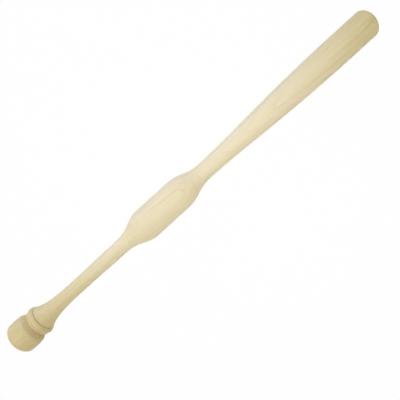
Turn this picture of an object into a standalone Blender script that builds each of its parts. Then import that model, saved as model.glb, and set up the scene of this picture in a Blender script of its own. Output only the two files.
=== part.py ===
"""Wooden training bat with a swell above the hands and a ball knob behind a collar.

The bat lies along +X with +Z up. Its origin is the centre of the knob's flat end face, and every
station below is a distance along the bat from that face. Each piece is turned about the same axis.
The body ends in a tenon: the collar slides over it, and the ball is bored to take its end.
"""
import math

import bpy

MM = 0.001

# Whole bat
LENGTH = 838 * MM
SEGMENTS = 48
GLUE_LINE = 0.3 * MM

# Ball of the knob
BALL_DIAMETER = 58.4 * MM
BALL_LENGTH = 46.6 * MM
KNOB_FACE_DIAMETER = 20 * MM
BALL_END_ROUND = 13.2 * MM
SHOULDER_LENGTH = 14.5 * MM
SHOULDER_DROP = 3.3 * MM
SHOULDER_EASE = 9.2 * MM
SHOULDER_TURN_EASE = 2.5 * MM

# Groove between ball and collar: a slope down the ball, and the foot of the collar's narrow ring
GROOVE_SLOPE_LENGTH = 7.6 * MM
GROOVE_FLOOR_DIAMETER = 35 * MM
RING_FOOT_DIAMETER = 40.2 * MM

# Collar: the narrow ring, the fine cut beside it, and the main bead
COLLAR_DIAMETER = 53.8 * MM
COLLAR_LENGTH = 15.2 * MM
RING_DIAMETER = 50.7 * MM
RING_CREST_FROM_START = 3.3 * MM
CUT_DIAMETER = 48.6 * MM
CUT_FROM_START = 5.1 * MM
CUT_SIDE_SQUARENESS = 1.7
COLLAR_CREST_TO_VEE = 6.4 * MM
VEE_DIAMETER = 45.4 * MM
VEE_SIDE_SQUARENESS = 1.75

# Flare and handle
FLARE_DIAMETER = 46.6 * MM
FLARE_LIP = 0.8 * MM
FLARE_LENGTH = 75 * MM
FLARE_DROP = 4.5 * MM
FLARE_DROP_RUN = 9 * MM
FLARE_EASE = 54 * MM
HANDLE_DIAMETER = 25.2 * MM
HANDLE_UPPER_DIAMETER = 27.2 * MM
HANDLE_LENGTH = 108.6 * MM

# Swell above the hands
RISE_LENGTH = 61 * MM
RISE_EASE_HANDLE = 30 * MM
RISE_EASE_SWELL = 21 * MM
SWELL_DIAMETER = 57.7 * MM
SWELL_LENGTH = 69.2 * MM
FALL_LENGTH = 68.6 * MM
FALL_EASE_SWELL = 36 * MM
FALL_EASE_NECK = 36 * MM
NECK_DIAMETER = 31.8 * MM

# Barrel
TAPER_EASE_NECK = 80 * MM
TAPER_EASE_BARREL = 155 * MM
BARREL_DIAMETER = 53 * MM
BARREL_LENGTH = 75 * MM
TIP_ROUND = 13.5 * MM
TIP_FACE_DIAMETER = 10 * MM
TIP_SQUARENESS = 1.65

# Tenon that carries collar and ball
TENON_DIAMETER = 19 * MM
TENON_IN_BALL = 24 * MM
TENON_CHAMFER = 1 * MM
BORE_CLEARANCE = 0.3 * MM
BORE_END_ROOM = 1 * MM

# Stations along the bat
COLLAR_START = BALL_LENGTH + GLUE_LINE
COLLAR_END = COLLAR_START + COLLAR_LENGTH
BODY_SHOULDER = COLLAR_END + GLUE_LINE
HANDLE_START = BODY_SHOULDER + FLARE_LENGTH
RISE_START = HANDLE_START + HANDLE_LENGTH
SWELL_START = RISE_START + RISE_LENGTH
SWELL_END = SWELL_START + SWELL_LENGTH
NECK = SWELL_END + FALL_LENGTH
BARREL_START = LENGTH - BARREL_LENGTH
TIP_START = LENGTH - TIP_ROUND
TENON_END = BALL_LENGTH - TENON_IN_BALL
BORE_END = TENON_END - BORE_END_ROOM

# Points on one curve of an outline
ROUND_POINTS = 8
SWEEP_POINTS = 11

WOOD_COLOUR = (0.80, 0.66, 0.43, 1.0)
KNOB_WOOD_COLOUR = (0.72, 0.57, 0.34, 1.0)


def quarter_curve(start, end, leaves_level, squareness=2.0):
    """Quarter of an ellipse from start to end; it leaves along the axis if leaves_level, else square to it."""
    (x0, r0), (x1, r1) = start, end
    power = 2 / squareness
    curve = []
    for step in range(ROUND_POINTS + 1):
        turn = math.pi / 2 * step / ROUND_POINTS
        fading = math.cos(turn) ** power if step < ROUND_POINTS else 0.0
        growing = math.sin(turn) ** power
        if leaves_level:
            curve.append((x0 + (x1 - x0) * growing, r1 + (r0 - r1) * fading))
        else:
            curve.append((x1 - (x1 - x0) * fading, r0 + (r1 - r0) * growing))
    return curve


def sweep_curve(start, start_pull, end_pull, end):
    """Smooth curve from start to end, drawn towards the two pull points."""
    curve = []
    for step in range(SWEEP_POINTS + 1):
        t = step / SWEEP_POINTS
        weights = ((1 - t) ** 3, 3 * t * (1 - t) ** 2, 3 * t * t * (1 - t), t ** 3)
        corners = (start, start_pull, end_pull, end)
        curve.append(tuple(sum(w * corner[axis] for w, corner in zip(weights, corners)) for axis in (0, 1)))
    return curve


def ogee(start, end, start_ease, end_ease):
    """S-curve that is level at both ends, held level for longer by a larger ease."""
    start_pull = (start[0] + start_ease, start[1])
    end_pull = (end[0] - end_ease, end[1])
    return sweep_curve(start, start_pull, end_pull, end)


def ball_outline():
    """Knob face, rounded side and shoulder, the slope into the groove, and the blind bore for the tenon."""
    radius = BALL_DIAMETER / 2
    side_start = (BALL_END_ROUND, radius)
    slope_end = (BALL_LENGTH, GROOVE_FLOOR_DIAMETER / 2)
    slope_start = (BALL_LENGTH - GROOVE_SLOPE_LENGTH, radius - SHOULDER_DROP)
    side_end = (slope_start[0] - SHOULDER_LENGTH, radius)
    fall = (slope_start[1] - slope_end[1]) / GROOVE_SLOPE_LENGTH
    turn_run = SHOULDER_TURN_EASE / math.hypot(1, fall)
    side_pull = (side_end[0] + SHOULDER_EASE, radius)
    slope_pull = (slope_start[0] - turn_run, slope_start[1] + fall * turn_run)
    bore = TENON_DIAMETER / 2 + BORE_CLEARANCE
    outline = [(0, 0)]
    outline += quarter_curve((0, KNOB_FACE_DIAMETER / 2), side_start, leaves_level=False)
    outline += sweep_curve(side_end, side_pull, slope_pull, slope_start)
    outline += [slope_end, (BALL_LENGTH, bore), (BORE_END, bore), (BORE_END, 0)]
    return outline


def collar_outline():
    """Narrow ring, fine cut and bead, from the groove to the V-cut, closed through the bore."""
    foot = (COLLAR_START, RING_FOOT_DIAMETER / 2)
    ring_crest = (COLLAR_START + RING_CREST_FROM_START, RING_DIAMETER / 2)
    cut = (COLLAR_START + CUT_FROM_START, CUT_DIAMETER / 2)
    crest = (COLLAR_END - COLLAR_CREST_TO_VEE, COLLAR_DIAMETER / 2)
    vee = (COLLAR_END, VEE_DIAMETER / 2)
    bore = TENON_DIAMETER / 2 + BORE_CLEARANCE
    outline = quarter_curve(foot, ring_crest, leaves_level=False)
    outline += quarter_curve(ring_crest, cut, leaves_level=True, squareness=CUT_SIDE_SQUARENESS)[1:]
    outline += quarter_curve(cut, crest, leaves_level=False)[1:]
    outline += quarter_curve(crest, vee, leaves_level=True, squareness=VEE_SIDE_SQUARENESS)[1:]
    outline += [(COLLAR_END, bore), (COLLAR_START, bore)]
    return outline


def body_outline():
    """Tenon, shoulder, flare, handle, swell, neck, barrel and blunt tip."""
    tenon = TENON_DIAMETER / 2
    lip = (BODY_SHOULDER + FLARE_LIP, FLARE_DIAMETER / 2)
    lip_foot = (BODY_SHOULDER, VEE_DIAMETER / 2)
    flare_pull = (lip[0] + FLARE_DROP_RUN, lip[1] - FLARE_DROP)
    handle_start = (HANDLE_START, HANDLE_DIAMETER / 2)
    handle_pull = (handle_start[0] - FLARE_EASE, handle_start[1])
    rise_start = (RISE_START, HANDLE_UPPER_DIAMETER / 2)
    swell_start = (SWELL_START, SWELL_DIAMETER / 2)
    swell_end = (SWELL_END, SWELL_DIAMETER / 2)
    neck = (NECK, NECK_DIAMETER / 2)
    barrel_start = (BARREL_START, BARREL_DIAMETER / 2)
    tip_start = (TIP_START, BARREL_DIAMETER / 2)
    tip_edge = (LENGTH, TIP_FACE_DIAMETER / 2)
    outline = [(TENON_END, 0), (TENON_END, tenon - TENON_CHAMFER), (TENON_END + TENON_CHAMFER, tenon)]
    outline += [(BODY_SHOULDER, tenon), lip_foot]
    outline += sweep_curve(lip, flare_pull, handle_pull, handle_start)
    outline += ogee(rise_start, swell_start, RISE_EASE_HANDLE, RISE_EASE_SWELL)
    outline += ogee(swell_end, neck, FALL_EASE_SWELL, FALL_EASE_NECK)
    outline += ogee(neck, barrel_start, TAPER_EASE_NECK, TAPER_EASE_BARREL)[1:]
    outline += quarter_curve(tip_start, tip_edge, leaves_level=True, squareness=TIP_SQUARENESS)
    outline.append((LENGTH, 0))
    return outline


def wood(name, colour, roughness):
    """Bare, finely sanded maple in one colour."""
    material = bpy.data.materials.new(name)
    material.use_nodes = True
    shader = material.node_tree.nodes["Principled BSDF"]
    shader.inputs["Base Color"].default_value = colour
    shader.inputs["Roughness"].default_value = roughness
    shader.inputs["Metallic"].default_value = 0.0
    material.diffuse_color = colour
    return material


def turned_piece(name, outline, datum, closed, lathe_axis, collection, material):
    """Turn an outline of (station, radius) points about the bat's axis, with the piece's origin at datum."""
    corners = [(radius, 0, station - datum) for station, radius in reversed(outline)]
    edges = [(first, first + 1) for first in range(len(corners) - 1)]
    if closed:
        edges.append((len(corners) - 1, 0))
    mesh = bpy.data.meshes.new(name)
    mesh.from_pydata(corners, edges, [])
    mesh.materials.append(material)
    piece = bpy.data.objects.new(name, mesh)
    collection.objects.link(piece)
    piece.parent = lathe_axis
    piece.location = (0, 0, datum)
    screw = piece.modifiers.new("turning", "SCREW")
    screw.axis = "Z"
    screw.angle = 2 * math.pi
    screw.steps = SEGMENTS
    screw.render_steps = SEGMENTS
    screw.use_smooth_shade = True
    screw.use_merge_vertices = True
    screw.merge_threshold = 0.00001
    return piece


for old in list(bpy.data.objects):
    bpy.data.objects.remove(old, do_unlink=True)

parts = bpy.data.collections.new("training_bat")
bpy.context.scene.collection.children.link(parts)

# The pieces are turned about Z, and the empty that carries them lays that axis along +X.
lathe_axis = bpy.data.objects.new("lathe_axis", None)
lathe_axis.rotation_euler = (0, math.pi / 2, 0)
parts.objects.link(lathe_axis)

body_wood = wood("maple_body", WOOD_COLOUR, 0.45)
collar_wood = wood("maple_collar", KNOB_WOOD_COLOUR, 0.45)
ball_wood = wood("maple_ball", KNOB_WOOD_COLOUR, 0.5)

turned_piece("bat_body", body_outline(), BODY_SHOULDER, False, lathe_axis, parts, body_wood)
turned_piece("knob_collar", collar_outline(), COLLAR_START, True, lathe_axis, parts, collar_wood)
turned_piece("knob_ball", ball_outline(), 0, False, lathe_axis, parts, ball_wood)
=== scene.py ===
"""Finish of a wooden training bat: three pieces of turned maple on a white sheet in soft light.

Places are in metres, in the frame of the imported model: +X runs from the knob to the tip, and +Z
is up.
"""
import math

import bpy
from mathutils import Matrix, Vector


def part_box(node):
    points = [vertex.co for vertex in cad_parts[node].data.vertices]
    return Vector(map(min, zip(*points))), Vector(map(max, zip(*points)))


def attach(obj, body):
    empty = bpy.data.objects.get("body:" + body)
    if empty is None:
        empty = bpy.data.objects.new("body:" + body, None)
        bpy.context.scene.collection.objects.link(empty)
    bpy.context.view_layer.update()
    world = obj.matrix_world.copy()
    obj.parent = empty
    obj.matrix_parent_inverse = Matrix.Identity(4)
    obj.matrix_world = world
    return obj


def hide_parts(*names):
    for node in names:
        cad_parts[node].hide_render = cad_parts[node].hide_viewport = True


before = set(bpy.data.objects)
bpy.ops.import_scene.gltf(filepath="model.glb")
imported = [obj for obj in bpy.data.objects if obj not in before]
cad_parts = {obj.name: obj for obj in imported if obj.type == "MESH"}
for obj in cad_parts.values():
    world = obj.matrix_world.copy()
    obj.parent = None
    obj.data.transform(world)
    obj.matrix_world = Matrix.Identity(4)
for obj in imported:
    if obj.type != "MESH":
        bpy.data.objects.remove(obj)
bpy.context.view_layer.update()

# The body is one billet of pale hard maple, turned between centres and sanded: flare, handle,
# swell above the hands, neck, barrel and blunt tip. At the knob it is cut down to a tenon, which
# is glued into the ball.
MM = 0.001
GLUE_LINE = 0.3 * MM
TENON_RADIUS = 9.5 * MM
TENON_CHAMFER = 1 * MM
VEE_RADIUS = 22.7 * MM
LIP_RADIUS = 23.3 * MM
LIP_WIDTH = 1.1 * MM
LIP_ROLL = (-0.5 * LIP_WIDTH, 0.26 * LIP_WIDTH)
FLARE_LENGTH = 75 * MM
FLARE_DROP = (8.7 * MM, -4.5 * MM)
FLARE_EASE = 54 * MM
HANDLE_RADIUS = 12.6 * MM
HANDLE_UPPER_RADIUS = 13.6 * MM
HANDLE_LENGTH = 108.6 * MM
HANDLE_EASE = HANDLE_LENGTH / 3
RISE_LENGTH = 61 * MM
RISE_EASES = (30 * MM, 21 * MM)
SWELL_LENGTH = 69.2 * MM
FALL_LENGTH = 68.6 * MM
FALL_EASE = 36 * MM
NECK_RADIUS = 15.9 * MM
TAPER_EASES = (80 * MM, 155 * MM)
BARREL_RADIUS = 26.5 * MM
BARREL_LENGTH = 75 * MM
TIP_ROUND = 13.5 * MM
TIP_FACE_RADIUS = 5 * MM
TIP_FULLNESS = 0.419

# How finely the outline and its turning are drawn, and the share of a rounding's size that its
# pulls reach when it is a quarter of a circle.
POINTS_A_SPAN = 14
TURNING_STEPS = 160
MERGE_DISTANCE = 0.01 * MM
SHARP_EDGE = math.radians(35)
QUARTER = 0.552


def knot(along, radius, before=None, after=None):
    """A point of a half outline. A pull bends the line on its side; with none it runs straight."""
    return Vector((along, 0, radius)), before, after


def turned_piece(name, outline):
    """Draws the half outline as a Bezier curve in the XZ plane and spins it about the axis."""
    bpy.ops.object.select_all(action="DESELECT")
    bpy.ops.curve.primitive_bezier_curve_add(location=(0, 0, 0))
    piece = bpy.context.object
    piece.name = name
    piece.data.resolution_u = POINTS_A_SPAN
    points = piece.data.splines[0].bezier_points
    points.add(len(outline) - len(points))
    for point, (place, before, after) in zip(points, outline):
        point.handle_left_type = "FREE" if before else "VECTOR"
        point.handle_right_type = "FREE" if after else "VECTOR"
        point.co = place
        if before:
            point.handle_left = place + Vector((before[0], 0, before[1]))
        if after:
            point.handle_right = place + Vector((after[0], 0, after[1]))
    bpy.ops.object.convert(target="MESH")
    bpy.ops.object.mode_set(mode="EDIT")
    bpy.ops.mesh.select_all(action="SELECT")
    bpy.ops.mesh.spin(steps=TURNING_STEPS, angle=2 * math.pi, center=(0, 0, 0), axis=(1, 0, 0))
    bpy.ops.mesh.select_all(action="SELECT")
    bpy.ops.mesh.remove_doubles(threshold=MERGE_DISTANCE)
    bpy.ops.mesh.normals_make_consistent(inside=False)
    bpy.ops.object.mode_set(mode="OBJECT")
    bpy.ops.object.shade_smooth_by_angle(angle=SHARP_EDGE)
    return bpy.context.object


def round_over(start, end, fullness=QUARTER):
    """Pulls of a rounded corner, which leaves its start along the axis and ends square to it."""
    run = end[0] - start[0]
    drop = end[1] - start[1]
    return (run * fullness, 0), (0, -drop * fullness)


body_low, body_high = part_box("bat_body")
collar_low, collar_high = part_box("knob_collar")
shoulder = collar_high.x + GLUE_LINE
handle_start = shoulder + FLARE_LENGTH
rise_start = handle_start + HANDLE_LENGTH
swell_start = rise_start + RISE_LENGTH
swell_end = swell_start + SWELL_LENGTH
neck = swell_end + FALL_LENGTH
tip = body_high.x
barrel_start = tip - BARREL_LENGTH
tip_start = tip - TIP_ROUND
tip_leave, tip_arrive = round_over((tip_start, BARREL_RADIUS), (tip, TIP_FACE_RADIUS),
                                   TIP_FULLNESS)

bat_body = turned_piece("turned_bat_body", [
    knot(body_low.x, 0),
    knot(body_low.x, TENON_RADIUS - TENON_CHAMFER),
    knot(body_low.x + TENON_CHAMFER, TENON_RADIUS),
    knot(shoulder, TENON_RADIUS),
    knot(shoulder, VEE_RADIUS, after=(0, (LIP_RADIUS - VEE_RADIUS) * QUARTER)),
    knot(shoulder + LIP_WIDTH, LIP_RADIUS, before=LIP_ROLL, after=FLARE_DROP),
    knot(handle_start, HANDLE_RADIUS, before=(-FLARE_EASE, 0), after=(HANDLE_EASE, 0)),
    knot(rise_start, HANDLE_UPPER_RADIUS, before=(-HANDLE_EASE, 0), after=(RISE_EASES[0], 0)),
    knot(swell_start, body_high.z, before=(-RISE_EASES[1], 0)),
    knot(swell_end, body_high.z, after=(FALL_EASE, 0)),
    knot(neck, NECK_RADIUS, before=(-FALL_EASE, 0), after=(TAPER_EASES[0], 0)),
    knot(barrel_start, BARREL_RADIUS, before=(-TAPER_EASES[1], 0)),
    knot(tip_start, BARREL_RADIUS, after=tip_leave),
    knot(tip, TIP_FACE_RADIUS, before=tip_arrive),
    knot(tip, 0),
])

# Hard maple, turned and sanded: cream wood whose yearly rings end in a thin tan line. The heart
# of the log ran well below the bat, so the rings show as long arches on top and as straight
# lines along both sides.
HEART_DEPTH = 110 * MM
HEART_ASIDE = 8 * MM
RING_WANDER = 7 * MM

# How dark a year's growth is at each share of its width, how much each pattern adds to the wood's
# tone, and at which tones its colours lie. The middles are in metres from the knob's end.
YEAR_OF_GROWTH = ((0.0, 0.0), (0.68, 0.22), (0.88, 0.55), (0.94, 1.0), (1.0, 0.1))
RINGS_ON_HANDLE = 0.35
RINGS_ON_CUT_ENDS = 0.16
STREAK_SHARE = 0.40
RAY_SHARE = 0.09
FIBRE_SHARE = 0.30
DRIFT_SHARE = 0.30
PALEST_TONE = 0.25
PALE_TONE = 0.5
DEEP_TONE = 0.78
HANDLE_MIDDLE = 0.18
BAT_MIDDLE = 0.44
# The colour of the painted shade towards both ends of the bat.
END_SHADE_STRAW = "#F3F0DA"
CUT_END_DARKENING = 0.25
SIDE_ROUGHNESS = 0.55
CUT_END_ROUGHNESS = 0.7
SCRATCH_SHARE = 0.4
RELIEF_DEPTH = 0.12 * MM
RELIEF_STRENGTH = 0.2
MAPLE_IOR = 1.5

# A wave texture at this scale repeats once in each cell, and noise is even about its middle.
WAVE_UNIT = math.pi / 10
NOISE_MIDDLE = (0.5, 0.5, 0.5)


def linear(hex_colour):
    """Linear RGBA of an sRGB hex colour."""
    channels = [int(hex_colour[place:place + 2], 16) / 255 for place in (1, 3, 5)]
    return [c / 12.92 if c <= 0.04045 else ((c + 0.055) / 1.055) ** 2.4 for c in channels] + [1]


def add(tree, kind, output, inputs, **settings):
    """Adds a node and gives back one output. Inputs, values or outputs, go by name or in order."""
    node = tree.nodes.new("ShaderNode" + kind)
    for setting, value in settings.items():
        setattr(node, setting, value)
    open_inputs = [socket for socket in node.inputs if socket.enabled]
    by_name = {socket.name: socket for socket in open_inputs}
    for key, value in inputs.items() if isinstance(inputs, dict) else enumerate(inputs):
        socket = by_name[key] if isinstance(key, str) else open_inputs[key]
        if isinstance(value, bpy.types.NodeSocket):
            tree.links.new(value, socket)
        else:
            socket.default_value = value
    found = [socket for socket in node.outputs if socket.enabled and socket.name == output]
    return found[0] if found else None


def cell(along, across, deep):
    """Mapping scale of a pattern whose cells measure this in millimetres, as the log runs."""
    return [1 / (size * MM) for size in (along, across, deep)]


def maple(name, heart_turn, ring_contrast, palest, pale, deep, line):
    """Sanded maple, cut with the log's heart turned this far round the bat's axis.

    Ring contrast is that of the faintest and of the strongest ring. The four colours run from
    the palest wood to the ring lines.
    """
    material = bpy.data.materials.new(name)
    material.use_nodes = True
    tree = material.node_tree
    place = add(tree, "TexCoord", "Object", {})
    facing = add(tree, "TexCoord", "Normal", {})

    # In the log's own directions X runs along the trunk, Y round it and Z out from its heart.
    turned = add(tree, "Mapping", "Vector", {"Vector": place, "Rotation": (-heart_turn, 0, 0)})
    log = add(tree, "Mapping", "Vector", {"Vector": turned, "Location": (0, 0, HEART_DEPTH)})

    # Rings lie 3.6 mm apart. They wander by a few millimetres over a hand's width, and much less
    # along the trunk.
    wander_place = add(tree, "Mapping", "Vector", {"Vector": log, "Scale": cell(260, 40, 40)})
    wander = add(tree, "TexNoise", "Color", {"Vector": wander_place, "Scale": 1, "Detail": 2})
    centred = add(tree, "VectorMath", "Vector", [wander, NOISE_MIDDLE], operation="SUBTRACT")
    bent = add(tree, "VectorMath", "Vector", {"Vector": centred, "Scale": RING_WANDER},
               operation="SCALE")
    grown = add(tree, "VectorMath", "Vector", [log, bent], operation="ADD")
    ring_place = add(tree, "Mapping", "Vector", {"Vector": grown, "Scale": cell(60, 3.6, 3.6)})
    rings = add(tree, "TexWave", "Fac",
                {"Vector": ring_place, "Scale": WAVE_UNIT, "Distortion": 1.2, "Detail": 2,
                 "Detail Scale": 1.2},
                wave_type="RINGS", rings_direction="X", wave_profile="SAW")
    ring_tone = add(tree, "ValToRGB", "Color", {"Fac": rings})
    ramp = ring_tone.node.color_ramp
    for position, level in YEAR_OF_GROWTH:
        stop = ramp.elements.new(position) if 0 < position < 1 else ramp.elements[int(position)]
        stop.color = (level, level, level, 1)

    # A ring is strong in one place and almost lost in the next, and along the handle all of them
    # are faint. On the cut ends they stand out again.
    faint, strong = ring_contrast
    fading_place = add(tree, "Mapping", "Vector", {"Vector": grown, "Scale": cell(150, 30, 9)})
    fading = add(tree, "TexNoise", "Fac", {"Vector": fading_place, "Scale": 1, "Detail": 1})
    ring_contrast_here = add(tree, "MapRange", "Result",
                             {"Value": fading, "From Min": 0.35, "From Max": 0.65,
                              "To Min": faint, "To Max": strong})
    along = add(tree, "SeparateXYZ", "X", [place])
    from_handle = add(tree, "Math", "Value", [along, HANDLE_MIDDLE], operation="SUBTRACT")
    handle_distance = add(tree, "Math", "Value", [from_handle], operation="ABSOLUTE")
    off_handle = add(tree, "MapRange", "Result",
                     {"Value": handle_distance, "From Min": 0.04, "From Max": 0.1,
                      "To Min": RINGS_ON_HANDLE, "To Max": 1.0},
                     interpolation_type="SMOOTHSTEP")
    ring_strength_along = add(tree, "Math", "Value", [ring_contrast_here, off_handle],
                              operation="MULTIPLY")
    facing_parts = add(tree, "SeparateXYZ", "X", [facing])
    facing_ends = add(tree, "Math", "Value", [facing_parts], operation="ABSOLUTE")
    cut_end = add(tree, "MapRange", "Result",
                  {"Value": facing_ends, "From Min": 0.4, "From Max": 1.0,
                   "To Min": 0.0, "To Max": 1.0},
                  interpolation_type="SMOOTHSTEP")
    ring_strength = add(tree, "Math", "Value", [cut_end, RINGS_ON_CUT_ENDS, ring_strength_along],
                        operation="MULTIPLY_ADD")

    # Bundles of fibres take the light differently, as soft streaks along the trunk.
    streak_place = add(tree, "Mapping", "Vector", {"Vector": grown, "Scale": cell(85, 6, 6)})
    streaks = add(tree, "TexNoise", "Fac",
                  {"Vector": streak_place, "Scale": 1, "Detail": 4, "Roughness": 0.75})

    # Rays are thin plates that run out from the heart: short dashes on top, wider flecks on the
    # sides. They are drawn two to three times their real 2 by 0.3 mm, so that they still show.
    ray_place = add(tree, "Mapping", "Vector", {"Vector": grown, "Scale": cell(9, 1.7, 16)})
    ray_reach = add(tree, "TexVoronoi", "Distance", {"Vector": ray_place, "Scale": 1})
    rays = add(tree, "MapRange", "Result",
               {"Value": ray_reach, "From Min": 0.12, "From Max": 0.34,
                "To Min": 1.0, "To Max": 0.0})

    # Fibres are under 0.1 mm wide, and are drawn twenty times coarser so that they still show.
    fibre_place = add(tree, "Mapping", "Vector", {"Vector": log, "Scale": cell(40, 2, 2)})
    fibres = add(tree, "TexNoise", "Fac",
                 {"Vector": fibre_place, "Scale": 1, "Detail": 4, "Roughness": 0.7})

    # The billet's colour drifts from cream to straw over a hand's length or two.
    drift_place = add(tree, "Mapping", "Vector", {"Vector": log, "Scale": cell(190, 60, 60)})
    drift = add(tree, "TexNoise", "Fac", {"Vector": drift_place, "Scale": 1, "Detail": 1})

    # Each pattern deepens the tone by its share, and the tone picks the colour.
    with_rings = add(tree, "Math", "Value", [ring_tone, ring_strength], operation="MULTIPLY")
    with_streaks = add(tree, "Math", "Value", [streaks, STREAK_SHARE, with_rings],
                       operation="MULTIPLY_ADD")
    with_rays = add(tree, "Math", "Value", [rays, RAY_SHARE, with_streaks],
                    operation="MULTIPLY_ADD")
    with_fibres = add(tree, "Math", "Value", [fibres, FIBRE_SHARE, with_rays],
                      operation="MULTIPLY_ADD")
    tone = add(tree, "Math", "Value", [drift, DRIFT_SHARE, with_fibres],
               operation="MULTIPLY_ADD")
    wood = add(tree, "ValToRGB", "Color", {"Fac": tone})
    ramp = wood.node.color_ramp
    ramp.elements[0].position = PALEST_TONE
    ramp.elements[0].color = linear(palest)
    ramp.elements[1].color = linear(line)
    ramp.elements.new(PALE_TONE).color = linear(pale)
    ramp.elements.new(DEEP_TONE).color = linear(deep)

    # Painted shade for the light that falls off towards both ends of the bat: the wood is darker
    # and more straw-coloured there, and its middle stays cream.
    from_middle = add(tree, "Math", "Value", [along, BAT_MIDDLE], operation="SUBTRACT")
    distance = add(tree, "Math", "Value", [from_middle], operation="ABSOLUTE")
    painted_end_shade = add(tree, "MapRange", "Result",
                    {"Value": distance, "From Min": 0.18, "From Max": 0.42,
                     "To Min": 0.0, "To Max": 1.0},
                    interpolation_type="SMOOTHSTEP")
    wood_with_end_shade = add(tree, "Mix", "Result", [painted_end_shade, wood, linear(END_SHADE_STRAW)],
                data_type="RGBA", blend_type="MULTIPLY")

    # Across its cut ends the wood drinks in light: it is darker and rougher there.
    darkening = add(tree, "Math", "Value", [cut_end, CUT_END_DARKENING], operation="MULTIPLY")
    colour = add(tree, "Mix", "Result", [darkening, wood_with_end_shade, linear(line)], data_type="RGBA")
    roughness = add(tree, "MapRange", "Result",
                    {"Value": cut_end, "From Min": 0.0, "From Max": 1.0,
                     "To Min": SIDE_ROUGHNESS, "To Max": CUT_END_ROUGHNESS})

    # Sanding on the lathe leaves faint rings round the bat, half a millimetre apart.
    scratch_place = add(tree, "Mapping", "Vector", {"Vector": place, "Scale": cell(0.5, 60, 60)})
    scratches = add(tree, "TexNoise", "Fac", {"Vector": scratch_place, "Scale": 1, "Detail": 2})
    relief = add(tree, "Math", "Value", [scratches, SCRATCH_SHARE, fibres],
                 operation="MULTIPLY_ADD")
    bump = add(tree, "Bump", "Normal",
               {"Height": relief, "Strength": RELIEF_STRENGTH, "Distance": RELIEF_DEPTH})
    shader = tree.nodes["Principled BSDF"]
    shader.inputs["IOR"].default_value = MAPLE_IOR
    tree.links.new(colour, shader.inputs["Base Color"])
    tree.links.new(roughness, shader.inputs["Roughness"])
    tree.links.new(bump, shader.inputs["Normal"])
    return material


body_wood = maple("sanded_maple", heart_turn=math.atan2(HEART_ASIDE, HEART_DEPTH),
                  ring_contrast=(0.04, 0.24), palest="#F2E8CE", pale="#ECDFBF", deep="#E2D1A9",
                  line="#CDB487")
bat_body.data.materials.clear()
bat_body.data.materials.append(body_wood)
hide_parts("bat_body")
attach(bat_body, "root")

# The collar is a turned maple ring, slid over the tenon up to the flare and glued. A fine cut
# parts a narrow ring from its main bead. The bead's far side makes half of the V-cut before the
# flare. Glue squeezed out at both ends leaves finer seams than the glue lines' full gaps.
SQUEEZED_GLUE = 0.125 * MM
RING_FOOT_RADIUS = 20.1 * MM
RING_CREST = (3.3 * MM, 25.35 * MM)
RING_CUT = (5.1 * MM, 24.3 * MM)
CUT_SIDE_FULLNESS = 0.45
CREST_TO_VEE = 6.4 * MM
VEE_SIDE_FULLNESS = 0.46
BORE_RADIUS = 9.8 * MM

collar_start = collar_low.x - SQUEEZED_GLUE
collar_end = collar_high.x + SQUEEZED_GLUE
foot = (collar_start, RING_FOOT_RADIUS)
ring_crest = (collar_low.x + RING_CREST[0], RING_CREST[1])
cut = (collar_low.x + RING_CUT[0], RING_CUT[1])
crest = (collar_high.x - CREST_TO_VEE, collar_high.z)
vee = (collar_end, VEE_RADIUS)
ring_arrive, foot_leave = round_over(ring_crest, foot)
ring_leave, ring_side = round_over(ring_crest, cut, CUT_SIDE_FULLNESS)
crest_arrive, cut_leave = round_over(crest, cut)
crest_leave, vee_arrive = round_over(crest, vee, VEE_SIDE_FULLNESS)

knob_collar = turned_piece("turned_knob_collar", [
    knot(collar_start, BORE_RADIUS),
    knot(*foot, after=foot_leave),
    knot(*ring_crest, before=ring_arrive, after=ring_leave),
    knot(*cut, before=ring_side, after=cut_leave),
    knot(*crest, before=crest_arrive, after=crest_leave),
    knot(*vee, before=vee_arrive),
    knot(collar_end, BORE_RADIUS),
    knot(collar_start, BORE_RADIUS),
])

# Collar and ball are of the same sanded maple as the body, with the heart of the log turned to one
# side and stronger rings. Their colours are a little deeper, which is painted shade for the knob.
knob_maple_painted_darker = maple("sanded_knob_maple_painted_darker", heart_turn=math.radians(35), ring_contrast=(0.08, 0.32),
                  palest="#F0E5CA", pale="#EADCBC", deep="#DFCEA7", line="#CBB187")
knob_collar.data.materials.clear()
knob_collar.data.materials.append(knob_maple_painted_darker)
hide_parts("knob_collar")
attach(knob_collar, "root")

# The ball closes the knob: a short fat drum of maple with a blunt rounded end, bored from the
# other end for the tenon. Its shoulder rolls over into a steep slope, which ends in the groove
# before the collar.
KNOB_FACE_RADIUS = 10 * MM
BALL_END_ROUND = 13.2 * MM
SHOULDER_LENGTH = 14.5 * MM
SHOULDER_DROP = 3.3 * MM
SHOULDER_EASE = 9.2 * MM
SHOULDER_TURN_EASE = 2.5 * MM
SLOPE_LENGTH = 7.6 * MM
GROOVE_FLOOR_RADIUS = 17.5 * MM
BORE_END_ROOM = 1 * MM

ball_low, ball_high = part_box("knob_ball")
face_edge = (ball_low.x, KNOB_FACE_RADIUS)
side_start = (BALL_END_ROUND, ball_high.z)
side_end = (ball_high.x - SLOPE_LENGTH - SHOULDER_LENGTH, ball_high.z)
slope_start = (ball_high.x - SLOPE_LENGTH, ball_high.z - SHOULDER_DROP)
slope = Vector((SLOPE_LENGTH, GROOVE_FLOOR_RADIUS - slope_start[1]))
bore_end = body_low.x - BORE_END_ROOM
side_arrive, face_leave = round_over(side_start, face_edge)

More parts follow.
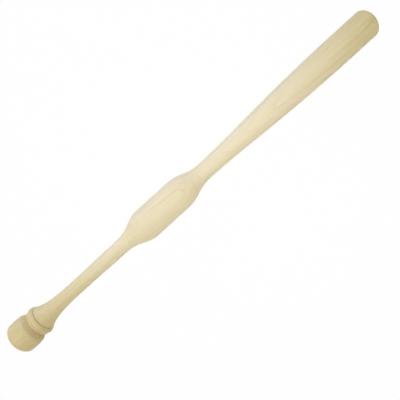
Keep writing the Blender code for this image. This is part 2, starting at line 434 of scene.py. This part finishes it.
knob_ball = turned_piece("turned_knob_ball", [
    knot(ball_low.x, 0),
    knot(*face_edge, after=face_leave),
    knot(*side_start, before=side_arrive),
    knot(*side_end, after=(SHOULDER_EASE, 0)),
    knot(*slope_start, before=-SHOULDER_TURN_EASE * slope.normalized()),
    knot(ball_high.x, GROOVE_FLOOR_RADIUS),
    knot(ball_high.x, BORE_RADIUS),
    knot(bore_end, BORE_RADIUS),
    knot(bore_end, 0),
])
knob_ball.data.materials.clear()
knob_ball.data.materials.append(knob_maple_painted_darker)
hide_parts("knob_ball")
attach(knob_ball, "root")

# The floor is a white sheet. The bat lies on it on the far end of its swell and on the barrel, so
# the sheet slopes by a third of a degree in the bat's own frame. To the eye it is white, and it
# keeps the bat's shadow.
FLOOR_SIZE = 12
FLOOR_GLOW = 0.975
SHEET_COLOUR = "#F6F6F6"
WHITE = "#FFFFFF"

floor_slope = math.atan2(body_high.z - BARREL_RADIUS, tip_start - swell_end)
bpy.ops.object.select_all(action="DESELECT")
bpy.ops.mesh.primitive_plane_add(size=FLOOR_SIZE, location=(swell_end, 0, -body_high.z))
floor = bpy.context.object
floor.name = "floor_sheet"
floor.rotation_euler = (0, -floor_slope, 0)
floor_paint = bpy.data.materials.new("white_sheet")
floor_paint.use_nodes = True
tree = floor_paint.node_tree
tree.nodes.clear()
sheet = add(tree, "BsdfDiffuse", "BSDF", {"Color": linear(SHEET_COLOUR)})
glow = add(tree, "Emission", "Emission", {"Color": linear(WHITE), "Strength": 1})


def seen_directly(tree):
    """1 for what the camera sees, straight or in gloss or glass, and 0 for light in the room."""
    straight = add(tree, "LightPath", "Is Camera Ray", {})
    rays = straight.node.outputs
    or_in_gloss = add(tree, "Math", "Value", [straight, rays["Is Glossy Ray"]], operation="ADD")
    return add(tree, "Math", "Value", [or_in_gloss, rays["Is Transmission Ray"]],
               operation="ADD", use_clamp=True)


share = add(tree, "Math", "Value", [seen_directly(tree), FLOOR_GLOW], operation="MULTIPLY")
both = add(tree, "MixShader", "Shader", [share, sheet, glow])
add(tree, "OutputMaterial", None, {"Surface": both})
floor.data.materials.append(floor_paint)

# One soft lamp hangs over the bat and reaches its ends less. Three more stand off: one high
# beyond the knob, one low on the far side, as cool as daylight from a window, and a weak one
# beyond the tip. The room's own light is soft and warm.
ROOM_LIGHT = 0.315
ROOM_COLOUR = "#FFF5D3"


def soft_lamp(name, place, target, size, power, colour, spread=180):
    """A round soft box, aimed from its place at a target."""
    bpy.ops.object.light_add(type="AREA", location=place)
    lamp = bpy.context.object
    lamp.name = name
    lamp.data.shape = "DISK"
    lamp.data.size = size
    lamp.data.energy = power
    lamp.data.color = linear(colour)[:3]
    lamp.data.spread = math.radians(spread)
    lamp.rotation_euler = (Vector(target) - Vector(place)).to_track_quat("-Z", "Y").to_euler()


soft_lamp("lamp_above", place=(0.52, -0.35, 1.05), target=(0.52, 0, 0), size=0.6, power=1.02,
          colour="#F6F9FF", spread=70)
soft_lamp("lamp_by_knob", place=(-0.64, -0.05, 1.06), target=(0.42, 0, 0), size=0.6, power=5.3,
          colour="#FFFCED")
soft_lamp("lamp_by_tip", place=(1.85, -0.75, 0.55), target=(0.42, 0, 0), size=0.6, power=1.05,
          colour="#FFFDFA")
soft_lamp("lamp_beside", place=(0.35, 1.41, 0.51), target=(0.42, 0, 0), size=0.8, power=10.5,
          colour="#D4E0FF")

room = bpy.data.worlds.new("room")
bpy.context.scene.world = room
room.use_nodes = True
tree = room.node_tree
tree.nodes.clear()
seen = seen_directly(tree)
strength = add(tree, "MapRange", "Result",
               {"Value": seen, "From Min": 0.0, "From Max": 1.0,
                "To Min": ROOM_LIGHT, "To Max": 1.0})
tint = add(tree, "Mix", "Result", [seen, linear(ROOM_COLOUR), linear(WHITE)], data_type="RGBA")
room_glow = add(tree, "Background", "Background", {"Color": tint, "Strength": strength})
add(tree, "OutputWorld", None, {"Surface": room_glow})

# The camera looks straight down on the bat from arm's length, turned so that the bat crosses the
# picture from the knob at lower left to the tip at upper right.
CAMERA_PLACE = (0.4033, -0.0322, 0.67375)
CAMERA_TURN = math.radians(-42.29)
CAMERA_LENS = 34.65
SENSOR_WIDTH = 36

bpy.ops.object.camera_add(location=CAMERA_PLACE, rotation=(0, 0, CAMERA_TURN))
camera = bpy.context.object
camera.data.sensor_width = SENSOR_WIDTH
camera.data.lens = CAMERA_LENS
bpy.context.scene.camera = camera
bpy.context.scene.view_settings.view_transform = "Standard"
